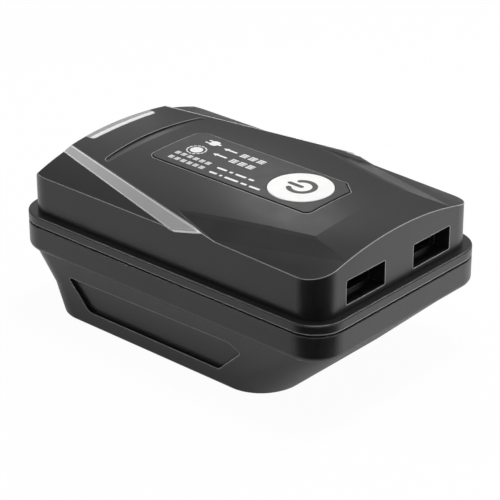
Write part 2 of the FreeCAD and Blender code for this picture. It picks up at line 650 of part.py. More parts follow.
def make_lower_housing():
    flange = rounded_prism(FLANGE_HALF_X, -FLANGE_HALF_Y, FLANGE_HALF_Y,
                           FLANGE_BOTTOM_Z, SHUT_LINE_Z, FLANGE_CORNER)
    flange = flange.makeFillet(FLANGE_UNDER_ROUND, edges_at_height(flange, FLANGE_BOTTOM_Z))
    flange = flange.makeFillet(FLANGE_EDGE_ROUND * 0.6, edges_at_height(flange, SHUT_LINE_Z))
    housing = keel().fuse(flange)
    room = rounded_prism(FLANGE_HALF_X - HOUSING_WALL, -FLANGE_HALF_Y + HOUSING_WALL,
                         FLANGE_HALF_Y - HOUSING_WALL, DECK_TOP_Z, FAR, FLANGE_CORNER - HOUSING_WALL)
    housing = housing.cut(room)

    added = []
    for x, y in case_boss_places():
        added.append(cylinder(x, y, DECK_TOP_Z - 1, CASE_BOSS_JOINT_Z, CASE_BOSS_RADIUS))
    for x, y in board_post_places():
        added.append(cylinder(x, y, DECK_TOP_Z - 1, BOARD_BOTTOM_Z, POST_RADIUS))
    added.append(rounded_prism(LATCH_HALF_X + LATCH_WALL, LATCH_Y[0] - LATCH_WALL, LATCH_Y[1] + LATCH_WALL,
                               DECK_TOP_Z - 1, DECK_BOTTOM_Z + LATCH_DEPTH + LATCH_WALL, LATCH_WALL))
    housing = housing.fuse(added)

    removed = [box(-HEAD_HALF_X, HEAD_HALF_X, CHANNEL_FRONT_Y, FAR, RAIL_HEIGHT, DECK_BOTTOM_Z)]
    gap = rectangle_path(RAIL_GAP_HALF_X, CHANNEL_FRONT_Y, FAR, -1, CHANNEL_CORNER, 0)
    removed.append(Part.Face(gap).extrude(V(0, 0, RAIL_HEIGHT + 2)))
    removed.extend(both_sides(rail_lead_in()))
    removed.append(nose_well())
    removed.append(box(-LATCH_HALF_X, LATCH_HALF_X, LATCH_Y[0], LATCH_Y[1],
                       DECK_BOTTOM_Z - 1, DECK_BOTTOM_Z + LATCH_DEPTH))
    removed.append(box(-BLOCK_HALF_X - FIT, BLOCK_HALF_X + FIT, BLOCK_Y[0] - FIT, BLOCK_Y[1] + FIT,
                       DECK_BOTTOM_Z - 1, DECK_TOP_Z + 1))
    removed.extend(both_sides(grip_panel()))
    for x, y in case_boss_places():
        removed.append(cylinder(x, y, DECK_BOTTOM_Z - 1, CASE_BOSS_JOINT_Z + 1, SCREW_RADIUS + FIT))
        removed.append(cylinder(x, y, DECK_BOTTOM_Z - 1, case_screw_seat_z(), SCREW_HEAD_RADIUS + FIT))
    for x, y in board_post_places():
        removed.append(cylinder(x, y, BOARD_TOP_Z - BOARD_SCREW_LENGTH - 1, BOARD_BOTTOM_Z + 1,
                                SCREW_RADIUS + FIT))
    for side in (-1, 1):
        tip_z = DECK_TOP_Z + BLOCK_FLANGE - TERMINAL_SCREW_LENGTH
        removed.append(cylinder(side * TERMINAL_SCREW_X, TERMINAL_SCREW_Y, tip_z - FIT,
                                DECK_TOP_Z + 1, SCREW_RADIUS + FIT))
    for cutter in removed:
        housing = housing.cut(cutter)
    return housing.removeSplitter()


def case_screw_seat_z():
    return DECK_BOTTOM_Z + CASE_SCREW_COVER + SCREW_HEAD_HEIGHT


def case_screw_tip_z():
    return case_screw_seat_z() + CASE_SCREW_LENGTH


def screw(x, y, seat_z, length, up):
    """A pan-head screw with a cross recess; its shank points up or down from its seat."""
    way = 1 if up else -1
    shank = Part.makeCylinder(SCREW_RADIUS, length, V(x, y, seat_z), V(0, 0, way))
    head = Part.makeCylinder(SCREW_HEAD_RADIUS, SCREW_HEAD_HEIGHT, V(x, y, seat_z), V(0, 0, -way))
    face_z = seat_z - way * SCREW_HEAD_HEIGHT
    rim = edges_at_height(head, face_z)
    head = head.makeFillet(SCREW_HEAD_ROUND, rim)
    body = shank.fuse(head)
    z0, z1 = sorted((face_z, face_z + way * SCREW_RECESS))
    arm = SCREW_RECESS_ARM
    half = SCREW_RECESS_HALF_WIDTH
    body = body.cut(box(x - arm, x + arm, y - half, y + half, z0 - 0.1, z1 + 0.1))
    return body.cut(box(x - half, x + half, y - arm, y + arm, z0 - 0.1, z1 + 0.1)).removeSplitter()


def make_case_screws():
    return [screw(x, y, case_screw_seat_z(), CASE_SCREW_LENGTH, True) for x, y in case_boss_places()]


def make_board_screws():
    return [screw(x, y, BOARD_TOP_Z, BOARD_SCREW_LENGTH, False) for x, y in board_post_places()]


def make_terminal_screws():
    seat_z = DECK_TOP_Z + BLOCK_FLANGE
    return [screw(side * TERMINAL_SCREW_X, TERMINAL_SCREW_Y, seat_z, TERMINAL_SCREW_LENGTH, False)
            for side in (-1, 1)]


def make_light_lens(outer):
    lens = outer.common(lens_window(0))
    half_x = LENS_HALF_X + 1
    hollow = box(-half_x, half_x, 0, WALL_HALF_Y - LENS_SKIN, 0, PLATEAU_APEX_Z - LENS_TOP_SKIN)
    return lens.cut(hollow.cut(behind_rear_bevel(LENS_SKIN))).removeSplitter()


def led_mid_z():
    return LENS_BOTTOM_Z + (SEAT_GAP + LED_BODY_HEIGHT) / 2


def led_face_y():
    """The LEDs' face stops short of the lens where their outer top corners come nearest to it."""
    outer_x = (LED_PITCH * (LED_COUNT - 1) + LED_SIZE) / 2
    return rear_bevel_y(outer_x, led_mid_z() + LED_BODY_HEIGHT / 2) - LENS_SKIN - SEAT_GAP


def led_board_front_y():
    return led_face_y() - LED_HEIGHT - LED_BOARD_THICKNESS


def make_led_board():
    y0 = led_board_front_y()
    return box(-LED_BOARD_HALF_X, LED_BOARD_HALF_X, y0, y0 + LED_BOARD_THICKNESS,
               LED_BOARD_Z[0], LED_BOARD_Z[1])


def make_leds():
    y0 = led_face_y() - LED_HEIGHT
    mid_z = led_mid_z()
    solids = []
    for i in range(LED_COUNT):
        x = (i - (LED_COUNT - 1) / 2) * LED_PITCH
        body = box(x - LED_SIZE / 2, x + LED_SIZE / 2, y0, y0 + LED_HEIGHT,
                   mid_z - LED_BODY_HEIGHT / 2, mid_z + LED_BODY_HEIGHT / 2)
        dish_foot = V(x, y0 + LED_HEIGHT - LED_DISH, mid_z)
        dish = Part.makeCone(LED_SIZE * 0.3, LED_SIZE * 0.36, 2 * LED_DISH, dish_foot, V(0, 1, 0))
        solids.append(body.cut(dish))
    return solids


def label_outline(gap, z):
    """The label's outline, widened by gap: its corner near +X at the front is cut off."""
    half_x = LABEL_HALF_X + gap
    y0 = LABEL_Y[0] - gap
    y1 = LABEL_Y[1] + gap
    cut_x, cut_y = LABEL_CUT
    points = [V(-half_x, y0, z), V(half_x - cut_x, y0, z), V(half_x, y0 + cut_y, z),
              V(half_x, y1, z), V(-half_x, y1, z)]
    rounds = [LABEL_FRONT_ROUND, LABEL_CUT_ROUND, LABEL_CUT_ROUND, LABEL_REAR_ROUND, LABEL_REAR_ROUND]
    return corner_path(points, [r + gap for r in rounds])


def label_ridge(depth):
    """The space under a surface that lies depth below the label's face."""
    return ridge(LABEL_TOP_Z - depth, PLATEAU_RADIUS + LABEL_PROUD - depth)


def label_pocket():
    blank = Part.Face(label_outline(LABEL_GROOVE, 0)).extrude(V(0, 0, FAR))
    return blank.cut(label_ridge(LABEL_THICKNESS))


def make_label_plate():
    blank = Part.Face(label_outline(0, 0)).extrude(V(0, 0, FAR))
    plate = blank.common(label_ridge(0)).cut(label_ridge(LABEL_THICKNESS))
    return plate.cut(cylinder(0, BUTTON_Y, 0, FAR, BUTTON_RADIUS + BUTTON_GAP))


def button_shell():
    """The button's dished cap and its skirt, turned from one profile of radius and height."""
    inner = BUTTON_RADIUS - BUTTON_SKIN
    dish_z = BUTTON_RIM_Z - BUTTON_DISH
    ceiling_z = dish_z - BUTTON_SKIN
    bend = BUTTON_EDGE_ROUND * (1 - math.sqrt(0.5))

    def at(radius, z):
        return V(radius, BUTTON_Y, z)

    rim_a = at(BUTTON_RADIUS, BUTTON_RIM_Z - BUTTON_EDGE_ROUND)
    rim_b = at(BUTTON_RADIUS - bend, BUTTON_RIM_Z - bend)
    rim_c = at(BUTTON_RADIUS - BUTTON_EDGE_ROUND, BUTTON_RIM_Z)
    dish_reach = BUTTON_RADIUS - BUTTON_EDGE_ROUND
    dish_radius = (dish_reach ** 2 + BUTTON_DISH ** 2) / (2 * BUTTON_DISH)
    dish_circle = Part.Circle(at(0, dish_z + dish_radius), V(0, -1, 0), dish_radius)
    dish_ends = sorted(dish_circle.parameter(p) for p in (rim_c, at(0, dish_z)))
    skirt = [at(0, ceiling_z), at(inner, ceiling_z), at(inner, BUTTON_FOOT_Z),
             at(BUTTON_FLANGE_RADIUS, BUTTON_FOOT_Z), at(BUTTON_FLANGE_RADIUS, BUTTON_STOP_Z),
             at(BUTTON_RADIUS, BUTTON_STOP_Z), rim_a]
    edges = Part.makePolygon(skirt).Edges
    edges.append(Part.Arc(rim_a, rim_b, rim_c).toShape())
    edges.append(Part.Edge(dish_circle, dish_ends[0], dish_ends[1]))
    edges.append(Part.LineSegment(at(0, dish_z), at(0, ceiling_z)).toShape())
    return Part.Face(Part.Wire(edges)).revolve(V(0, BUTTON_Y, 0), V(0, 0, 1), 360)


def make_power_button():
    roof_z = BUTTON_RIM_Z - BUTTON_DISH - BUTTON_SKIN / 2
    stem = cylinder(0, BUTTON_Y, plunger_top_z(), roof_z, BUTTON_STEM_RADIUS)
    rib_z = BUTTON_FOOT_Z + BUTTON_FLANGE / 2
    reach = BUTTON_RADIUS - BUTTON_SKIN / 2
    half = BUTTON_RIB / 2
    rib = box(-reach, reach, BUTTON_Y - half, BUTTON_Y + half, rib_z, roof_z)
    cross = box(-half, half, BUTTON_Y - reach, BUTTON_Y + reach, rib_z, roof_z)
    return button_shell().fuse([stem, rib, cross]).removeSplitter()


def plunger_top_z():
    return BUTTON_FOOT_Z - BUTTON_STEM_DROP


def make_switch_body():
    half = SWITCH_SIZE / 2
    body = box(-half, half, BUTTON_Y - half, BUTTON_Y + half, BOARD_TOP_Z, SWITCH_TOP_Z)
    body = body.makeChamfer(SWITCH_CHAMFER, [e for e in body.Edges if e.BoundBox.ZLength > 1])
    hole = cylinder(0, BUTTON_Y, SWITCH_TOP_Z - PLUNGER_SINK - BUTTON_TRAVEL - SEAT_GAP, SWITCH_TOP_Z + 1,
                    PLUNGER_RADIUS + PLUNGER_GAP)
    return body.cut(hole)


def make_switch_plunger():
    stem = cylinder(0, BUTTON_Y, SWITCH_TOP_Z - PLUNGER_SINK, plunger_top_z(), PLUNGER_RADIUS)
    return stem.makeChamfer(PLUNGER_CHAMFER, edges_at_height(stem, plunger_top_z()))


def make_main_board():
    board = rounded_prism(BOARD_HALF_X, BOARD_Y[0], BOARD_Y[1], BOARD_BOTTOM_Z, BOARD_TOP_Z, BOARD_CORNER)
    for x, y in case_boss_places():
        board = board.cut(cylinder(x, y, 0, FAR, CASE_BOSS_RADIUS + BOSS_HOLE_GAP))
    for x, y in board_post_places():
        board = board.cut(cylinder(x, y, 0, FAR, SCREW_RADIUS + FIT))
    return board


def make_usb_shell(x):
    y0 = USB_FACE_Y
    shell = slot_prism(x, USB_SHELL_WIDTH, USB_SHELL_HEIGHT, y0, y0 + USB_SHELL_LENGTH, USB_SHELL_CORNER)
    lip = slot_prism(x, USB_SHELL_WIDTH + 2 * USB_FLARE, USB_MOUTH_HEIGHT - 2 * FIT,
                     y0, y0 + USB_SHEET, USB_SHELL_CORNER)
    bore = slot_prism(x, USB_SHELL_WIDTH - 2 * USB_SHEET, USB_SHELL_HEIGHT - 2 * USB_SHEET,
                      y0 - 1, y0 + USB_SHELL_LENGTH - USB_SHEET, USB_SHELL_CORNER / 2)
    return shell.fuse(lip).cut(bore).removeSplitter()


def usb_tongue_z():
    return USB_MID_Z + USB_TONGUE_LIFT


def make_usb_tongue(x):
    inner_w = USB_SHELL_WIDTH - 2 * USB_SHEET - 2 * FIT
    inner_h = USB_SHELL_HEIGHT - 2 * USB_SHEET - 2 * FIT
    back_y = USB_FACE_Y + USB_SHELL_LENGTH - USB_SHEET - FIT
    block = slot_prism(x, inner_w, inner_h, back_y - USB_BLOCK_LENGTH, back_y, USB_SHELL_CORNER / 2)
    z0 = usb_tongue_z()
    tip_y = USB_FACE_Y + USB_TONGUE_SETBACK
    tongue = box(x - USB_TONGUE_WIDTH / 2, x + USB_TONGUE_WIDTH / 2, tip_y, back_y - 1,
                 z0, z0 + USB_TONGUE_HEIGHT)
    tip_edges = [e for e in tongue.Edges if e.BoundBox.YMax < tip_y + 0.01 and e.BoundBox.XLength > 1]
    tongue = tongue.makeChamfer(USB_TONGUE_CHAMFER, tip_edges)
    return block.fuse(tongue).removeSplitter()


def make_usb_contacts(x):
    solids = []
    z1 = usb_tongue_z()
    y0 = USB_FACE_Y + USB_TONGUE_SETBACK + USB_CONTACT_SETBACK
    for i in range(USB_CONTACTS):
        cx = x + (i - (USB_CONTACTS - 1) / 2) * USB_CONTACT_PITCH
        half = USB_CONTACT_WIDTH / 2
        solids.append(box(cx - half, cx + half, y0, y0 + USB_CONTACT_LENGTH, z1 - USB_CONTACT_THICKNESS, z1))
    return solids


def make_terminal_block():
    block = rounded_prism(BLOCK_HALF_X, BLOCK_Y[0], BLOCK_Y[1], BLOCK_BOTTOM_Z, DECK_TOP_Z, BLOCK_CORNER)
    rim_z = DECK_TOP_Z + BLOCK_FLANGE
    rim = rounded_prism(BLOCK_HALF_X + BLOCK_FLANGE_RIM, BLOCK_Y[0] - BLOCK_FLANGE_RIM,
                        BLOCK_Y[1] + BLOCK_FLANGE_RIM, DECK_TOP_Z, rim_z, BLOCK_FLANGE_CORNER)
    ears = [cylinder(side * TERMINAL_SCREW_X, TERMINAL_SCREW_Y, DECK_TOP_Z, rim_z, POST_RADIUS)
            for side in (-1, 1)]
    ears.append(box(-TERMINAL_SCREW_X, TERMINAL_SCREW_X, TERMINAL_SCREW_Y - POST_RADIUS,
                    TERMINAL_SCREW_Y + POST_RADIUS, DECK_TOP_Z, rim_z))
    block = block.fuse([rim] + ears)
    for x, y in case_boss_places():
        block = block.cut(cylinder(x, y, 0, FAR, CASE_BOSS_RADIUS + BOSS_HOLE_GAP))
    for side in (-1, 1):
        block = block.cut(blade_slot(side))
        block = block.cut(cylinder(side * TERMINAL_SCREW_X, TERMINAL_SCREW_Y, 0, FAR, SCREW_RADIUS + FIT))
    return block.removeSplitter()


def blade_outline(side, gap):
    """An L-shaped sheet blade: it stands in the channel, and its tail rises through the block."""
    x0 = side * BLADE_X - BLADE_THICKNESS / 2 - gap
    y0 = (BLOCK_Y[0] + BLOCK_Y[1]) / 2
    tail_top = DECK_TOP_Z + BLOCK_FLANGE + BLADE_TAIL_RISE
    points = [V(x0, y0 - gap, BLADE_Z - gap), V(x0, BLOCK_Y[1] + BLADE_REACH, BLADE_Z - gap),
              V(x0, BLOCK_Y[1] + BLADE_REACH, BLADE_Z + BLADE_WIDTH + gap),
              V(x0, y0 + BLADE_TAIL_WIDTH + gap, BLADE_Z + BLADE_WIDTH + gap),
              V(x0, y0 + BLADE_TAIL_WIDTH + gap, tail_top), V(x0, y0 - gap, tail_top)]
    return flat_prism(points, V(BLADE_THICKNESS + 2 * gap, 0, 0))


def blade_slot(side):
    return blade_outline(side, FIT)


def make_blade(side):
    return blade_outline(side, 0)


def tube_path(points, radius, bend):
    """A round wire along straight runs joined by tangent arcs."""
    edges = []
    start = points[0]
    for i in range(1, len(points) - 1):
        before = (points[i - 1] - points[i]).normalize()
        after = (points[i + 1] - points[i]).normalize()
        half_turn = before.getAngle(after) / 2
        reach = bend / math.tan(half_turn)
        middle = points[i] + (before + after).normalize() * (bend / math.sin(half_turn) - bend)
        a = points[i] + before * reach
        b = points[i] + after * reach
        edges.append(Part.LineSegment(start, a).toShape())
        edges.append(Part.Arc(a, middle, b).toShape())
        start = b
    edges.append(Part.LineSegment(start, points[-1]).toShape())
    path = Part.Wire(edges)
    section = Part.Wire(Part.makeCircle(radius, points[0], points[1] - points[0]))
    return path.makePipeShell([section], True, False)


def make_battery_lead(side):
    """The lead from a blade's tail up to the underside of the board."""
    x = side * (BLADE_X - BLADE_THICKNESS / 2 - WIRE_RADIUS)
    y0 = (BLOCK_Y[0] + BLOCK_Y[1] + BLADE_TAIL_WIDTH) / 2
    z0 = DECK_TOP_Z + BLOCK_FLANGE + SEAT_GAP
    turn_z = (z0 + BOARD_BOTTOM_Z) / 2
    over_x, over_y, rise = WIRE_SHIFT
    end_x = x - side * over_x
    points = [V(x, y0, z0), V(x, y0, turn_z), V(end_x, y0 + over_y, turn_z + rise),
              V(end_x, y0 + over_y, BOARD_BOTTOM_Z)]
    return tube_path(points, WIRE_RADIUS, WIRE_BEND)


def make_led_leads():
    solids = []
    for side in (-1, 1):
        x = side * LED_WIRE_X
        end_y = led_board_front_y()
        z_low = BOARD_TOP_Z + LED_WIRE_RADIUS + LED_WIRE_RISE
        z_high = LED_BOARD_Z[0] + LED_WIRE_END_RISE
        y0 = BOARD_Y[1] - LED_WIRE_INSET
        points = [V(x, y0, BOARD_TOP_Z), V(x, y0, z_low), V(x, y0 + LED_WIRE_RUN, z_high), V(x, end_y, z_high)]
        solids.append(tube_path(points, LED_WIRE_RADIUS, LED_WIRE_BEND))
    return solids


def make_capacitor(side, size):
    """An electrolytic can that lies along Y under the board, beside the posts."""
    radius = size["radius"]
    x = side * (POST_X - POST_RADIUS - CAPACITOR_POST_GAP - radius)
    z = BOARD_BOTTOM_Z - radius
    can = Part.makeCylinder(radius, size["length"], V(x, CAPACITOR_Y, z), V(0, 1, 0))
    can = can.makeFillet(radius * 0.12, [e for e in can.Edges if e.BoundBox.YLength < 0.01])
    neck_y = CAPACITOR_Y + size["length"] - 3 * CAPACITOR_NECK_RADIUS
    groove = Part.makeTorus(radius + CAPACITOR_NECK_RADIUS * 0.4, CAPACITOR_NECK_RADIUS,
                            V(x, neck_y, z), V(0, 1, 0))
    return can.cut(groove)


def make_inductor():
    half = INDUCTOR_HALF
    body = box(-half, half, INDUCTOR_Y - half, INDUCTOR_Y + half,
               BOARD_BOTTOM_Z - INDUCTOR_HEIGHT, BOARD_BOTTOM_Z)
    return body.makeChamfer(INDUCTOR_CHAMFER, [e for e in body.Edges if e.BoundBox.ZLength > 5])


def make_chip():
    return box(-CHIP_HALF_X, CHIP_HALF_X, CHIP_Y, CHIP_Y + CHIP_LENGTH,
               BOARD_BOTTOM_Z - CHIP_HEIGHT, BOARD_BOTTOM_Z)


def build():
    outer = crown()
    strip = make_trim_strip()
    nodes = {
        "upper_cover": make_upper_cover(outer),
        "lower_housing": make_lower_housing(),
        "trim_strip_right": strip,
        "trim_strip_left": mirrored(strip),
        "light_lens": make_light_lens(outer),
        "led_board": make_led_board(),
        "leds": make_leds(),
        "label_plate": make_label_plate(),
        "power_button": make_power_button(),
        "switch_body": make_switch_body(),
        "switch_plunger": make_switch_plunger(),
        "main_board": make_main_board(),
        "terminal_block": make_terminal_block(),
        "blade_positive": make_blade(1),
        "blade_negative": make_blade(-1),
        "battery_lead_positive": make_battery_lead(1),
        "battery_lead_negative": make_battery_lead(-1),
        "led_leads": make_led_leads(),
        "input_capacitor": make_capacitor(-1, INPUT_CAPACITOR),
        "output_capacitor": make_capacitor(1, OUTPUT_CAPACITOR),
        "power_inductor": make_inductor(),
        "converter_chip": make_chip(),
        "case_screws": make_case_screws(),
        "board_screws": make_board_screws(),
        "terminal_screws": make_terminal_screws(),
    }
    for name, x in zip(("left", "right"), usb_positions()):
        nodes["usb_shell_" + name] = make_usb_shell(x)
        nodes["usb_tongue_" + name] = make_usb_tongue(x)
        nodes["usb_contacts_" + name] = make_usb_contacts(x)
    return nodes


def write(nodes):
    os.makedirs("parts", exist_ok=True)
    for name, shape in sorted(nodes.items()):
        if isinstance(shape, list):
            shape = Part.makeCompound(shape)
        shape.exportStep("parts/" + name + ".step")
        box_ = shape.BoundBox
        print("%-24s solids %d valid %s volume %9.2f  x %.2f..%.2f y %.2f..%.2f z %.2f..%.2f" % (
            name, len(shape.Solids), shape.isValid(), shape.Volume, box_.XMin, box_.XMax,
            box_.YMin, box_.YMax, box_.ZMin, box_.ZMax))


write(build())
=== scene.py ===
import math

import bmesh
import bpy
from mathutils import Matrix, Vector


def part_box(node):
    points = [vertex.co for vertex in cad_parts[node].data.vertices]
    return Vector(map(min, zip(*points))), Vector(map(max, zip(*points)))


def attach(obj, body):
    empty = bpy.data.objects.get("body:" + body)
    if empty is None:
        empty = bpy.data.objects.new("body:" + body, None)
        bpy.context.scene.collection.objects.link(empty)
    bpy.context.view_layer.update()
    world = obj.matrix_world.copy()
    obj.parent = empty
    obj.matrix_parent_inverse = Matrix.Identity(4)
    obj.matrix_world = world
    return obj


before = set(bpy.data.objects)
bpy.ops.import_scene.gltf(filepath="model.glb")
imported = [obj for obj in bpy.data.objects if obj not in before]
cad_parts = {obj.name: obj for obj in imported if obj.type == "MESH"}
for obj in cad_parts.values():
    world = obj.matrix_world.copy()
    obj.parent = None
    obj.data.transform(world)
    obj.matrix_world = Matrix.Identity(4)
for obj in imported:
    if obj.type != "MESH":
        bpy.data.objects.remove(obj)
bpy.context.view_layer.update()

BUTTON_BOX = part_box("power_button")
LABEL_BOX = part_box("label_plate")
MM = 0.001

# Camera, recovered from the photograph's straight edges: degrees and metres
CAMERA_AZIMUTH = 48.393
CAMERA_ELEVATION = 26.335
CAMERA_ROLL = -0.084
CAMERA_DISTANCE = 0.578494
CAMERA_TARGET_Z = 0.025
CAMERA_RIGHT = 0.000877
CAMERA_UP = -0.002284
CAMERA_LENS = 158.245
SENSOR_WIDTH = 36.0

# Studio
FLOOR_HALF = 3.0
FLOOR_PAPER = (0.9, 0.9, 0.9, 1)
FLOOR_WHITE_SHARE = 0.965
FLOOR_GLOSS_SHARE = 0.33
AMBIENT = 0.08

# Gloss sees the backdrop fade: sine of elevation, then share of white
BACKDROP_FADE = ((0.25, 0.15), (0.45, 0.6), (0.52, 0.6), (0.72, 0.15))

# Cards just above the floor, seen by gloss alone: name, corners in millimetres, strength
CARDS = (("dark_card", ((-113, 10), (29, -132), (-112, -273), (-254, -132)), 0.0),
         ("bright_card", ((-28, -57), (60, -57), (330, -150), (122, -257)), 1.32))
CARD_LIFT = 1.0 * MM

# Soft boxes: name, direction, distance, width, height, level, and the point that they face
BODY_POINT = (0, 0, 0.03)
CROWN_POINT = (0, -0.02, 0.046)
SCOOP_POINT = (0, 0.036, 0.046)
SOFT_BOXES = (("box_left_rear", (-0.30, 0.62, 0.72), 0.8, 0.12, 0.12, 0.13, BODY_POINT),
              ("box_right_front", (0.64, -0.76, 0.05), 0.6, 0.30, 0.10, 0.4, BODY_POINT),
              ("box_above", (0.10, -0.10, 1.00), 0.7, 0.35, 0.35, 0.77, BODY_POINT),
              ("edge_light", (0.67, -0.08, 0.74), 0.8, 0.12, 0.12, 0.20, BODY_POINT),
              ("strip_box", (0.60, 0.60, 0.53), 0.20, 0.035, 0.05, 0.03, CROWN_POINT),
              ("rear_strip", (0.62, 0.76, 0.20), 0.20, 0.05, 0.03, 0.018, SCOOP_POINT))
# Low as it is, this box's mirror image would whiten the crown in views from behind
BOX_WITHOUT_GLOSS = "box_right_front"

# Painted highlight along sharp outer edges: the openness at which its light colour starts, and at which it
# is full
EDGE_HIGHLIGHT_START = 0.95
EDGE_HIGHLIGHT_FULL = 0.6

# Label plate: how its top bends, and how far its print stands up
LABEL_BEND_RADIUS = 170.2 * MM
PRINT_LIFT = 0.015 * MM
PRINT_BITE = 0.03 * MM

# Power symbol on the button: centre, mean radius, stroke, gap and bar
SYMBOL_CENTRE = (0.5 * MM, -18.4 * MM)
SYMBOL_RADIUS = 3.4 * MM
SYMBOL_STROKE = 1.45 * MM
SYMBOL_GAP_DEG = 42.0
SYMBOL_BAR = (-0.5 * MM, 4.6 * MM)
SYMBOL_BAR_WIDTH = 1.3 * MM

# Button: its top is dished, by this much below the rim over this radius
DISH_DEPTH = 0.2 * MM
DISH_HALF_WIDTH = 8.4 * MM

# Lens: where its light front part ends, and over how much to each side
LENS_STEP_Y = 45.4 * MM
LENS_STEP_HALF = 0.15 * MM

# Label signs, in millimetres: centres of the sun and the plug, then each arrow's x and tail
SUN_PLACE = (-0.2, 17.4)
SUN_RAYS = 14
PLUG_PLACE = (6.2, 17.1)
ARROWS = ((5.3, 8.0), (1.0, 7.8))
ARROW_TIP_Y = 12.6
ARROW_SHAFT = 0.7
ARROW_HEAD = 1.7
ARROW_HEAD_LENGTH = 1.5
# Rows of blocks: x, first y, count, size, pitch
BLOCK_ROWS = ((5.15, 6.3, 3, 2.2, 2.9), (0.75, 6.2, 3, 2.2, 2.9),
              (-4.5, 20.8, 6, 1.5, 2.15), (-7.4, 20.5, 6, 1.5, 2.15))
# Rows of dashes: x, first y, lengths
DASH_ROWS = ((-4.9, 5.8, (3.4, 1.2, 3.6, 1.8)), (-7.9, 5.8, (2.6, 0.9, 4.6, 2.0, 3.6)))
DASH_GAP = 0.9
DASH_WIDTH = 0.8


def camera_axes():
    """Right, up and backward directions of the camera."""
    azimuth = math.radians(CAMERA_AZIMUTH)
    elevation = math.radians(CAMERA_ELEVATION)
    roll = math.radians(CAMERA_ROLL)
    back = Vector((-math.sin(azimuth) * math.cos(elevation),
                   -math.cos(azimuth) * math.cos(elevation), math.sin(elevation)))
    right = Vector((math.cos(azimuth), -math.sin(azimuth), 0))
    up = back.cross(right)
    return (math.cos(roll) * right + math.sin(roll) * up,
            math.cos(roll) * up - math.sin(roll) * right, back)


def make_camera():
    """The photograph's camera."""
    right, up, back = camera_axes()
    place = (back * CAMERA_DISTANCE + right * CAMERA_RIGHT + up * CAMERA_UP
             + Vector((0, 0, CAMERA_TARGET_Z)))
    data = bpy.data.cameras.new("camera")
    data.lens = CAMERA_LENS
    data.sensor_width = SENSOR_WIDTH
    data.clip_start = 0.01
    data.clip_end = 50
    camera = bpy.data.objects.new("camera", data)
    bpy.context.scene.collection.objects.link(camera)
    camera.matrix_world = Matrix.Translation(place) @ Matrix((right, up, back)).transposed().to_4x4()
    bpy.context.scene.camera = camera


def seen_white(nodes, links, gloss_share):
    """1 for camera and transmission rays, gloss_share (number or socket) for glossy rays, else 0."""
    path = nodes.new("ShaderNodeLightPath")
    direct = nodes.new("ShaderNodeMath")
    direct.operation = "MAXIMUM"
    links.new(path.outputs["Is Camera Ray"], direct.inputs[0])
    links.new(path.outputs["Is Transmission Ray"], direct.inputs[1])
    gloss = nodes.new("ShaderNodeMath")
    gloss.operation = "MULTIPLY"
    links.new(path.outputs["Is Glossy Ray"], gloss.inputs[0])
    if isinstance(gloss_share, float):
        gloss.inputs[1].default_value = gloss_share
    else:
        links.new(gloss_share, gloss.inputs[1])
    both = nodes.new("ShaderNodeMath")
    both.operation = "MAXIMUM"
    links.new(direct.outputs[0], both.inputs[0])
    links.new(gloss.outputs[0], both.inputs[1])
    return both.outputs[0]


def backdrop_fade(nodes, links):
    """The backdrop's share of white, by how high it is."""
    place = nodes.new("ShaderNodeTexCoord")
    split = nodes.new("ShaderNodeSeparateXYZ")
    links.new(place.outputs["Generated"], split.inputs["Vector"])
    fade = nodes.new("ShaderNodeValToRGB")
    stops = fade.color_ramp.elements
    while len(stops) < len(BACKDROP_FADE):
        stops.new(1.0)
    for stop, (height, share) in zip(stops, BACKDROP_FADE):
        stop.position = height
        stop.color = (share, share, share, 1)
    links.new(split.outputs["Z"], fade.inputs["Fac"])
    return fade.outputs["Color"]


def empty_tree(holder):
    """Nodes and links of a material or world, cleared."""
    holder.use_nodes = True
    holder.node_tree.nodes.clear()
    return holder.node_tree.nodes, holder.node_tree.links


def make_world():
    """Backdrop: white to the camera, fading to gloss, dim as a light."""
    world = bpy.data.worlds.new("studio_world")
    bpy.context.scene.world = world
    nodes, links = empty_tree(world)
    dim = nodes.new("ShaderNodeBackground")
    dim.inputs["Color"].default_value = (1, 1, 1, 1)
    dim.inputs["Strength"].default_value = AMBIENT
    white = nodes.new("ShaderNodeBackground")
    white.inputs["Color"].default_value = (1, 1, 1, 1)
    white.inputs["Strength"].default_value = 1.0
    mix = nodes.new("ShaderNodeMixShader")
    output = nodes.new("ShaderNodeOutputWorld")
    links.new(seen_white(nodes, links, backdrop_fade(nodes, links)), mix.inputs["Fac"])
    links.new(dim.outputs[0], mix.inputs[1])
    links.new(white.outputs[0], mix.inputs[2])
    links.new(mix.outputs[0], output.inputs["Surface"])


def make_sheet(name, corners, material):
    """A flat four-cornered piece of the studio."""
    mesh = bpy.data.meshes.new(name)
    mesh.from_pydata(corners, [], [(0, 1, 2, 3)])
    mesh.materials.append(material)
    sheet = bpy.data.objects.new(name, mesh)
    bpy.context.scene.collection.objects.link(sheet)
    return sheet


def make_floor():
    """Pale paper: nearly white to the camera, with the object's shadow on it."""
    material = bpy.data.materials.new("floor_paper")
    nodes, links = empty_tree(material)
    paper = nodes.new("ShaderNodeBsdfDiffuse")
    paper.inputs["Color"].default_value = FLOOR_PAPER
    white = nodes.new("ShaderNodeEmission")
    white.inputs["Color"].default_value = (1, 1, 1, 1)
    share = nodes.new("ShaderNodeMath")
    share.operation = "MULTIPLY"
    share.inputs[1].default_value = FLOOR_WHITE_SHARE
    mix = nodes.new("ShaderNodeMixShader")
    output = nodes.new("ShaderNodeOutputMaterial")
    links.new(seen_white(nodes, links, FLOOR_GLOSS_SHARE / FLOOR_WHITE_SHARE), share.inputs[0])
    links.new(share.outputs[0], mix.inputs["Fac"])
    links.new(paper.outputs[0], mix.inputs[1])
    links.new(white.outputs[0], mix.inputs[2])
    links.new(mix.outputs[0], output.inputs["Surface"])
    half = FLOOR_HALF
    make_sheet("floor", [(-half, -half, 0), (half, -half, 0), (half, half, 0), (-half, half, 0)],
               material)


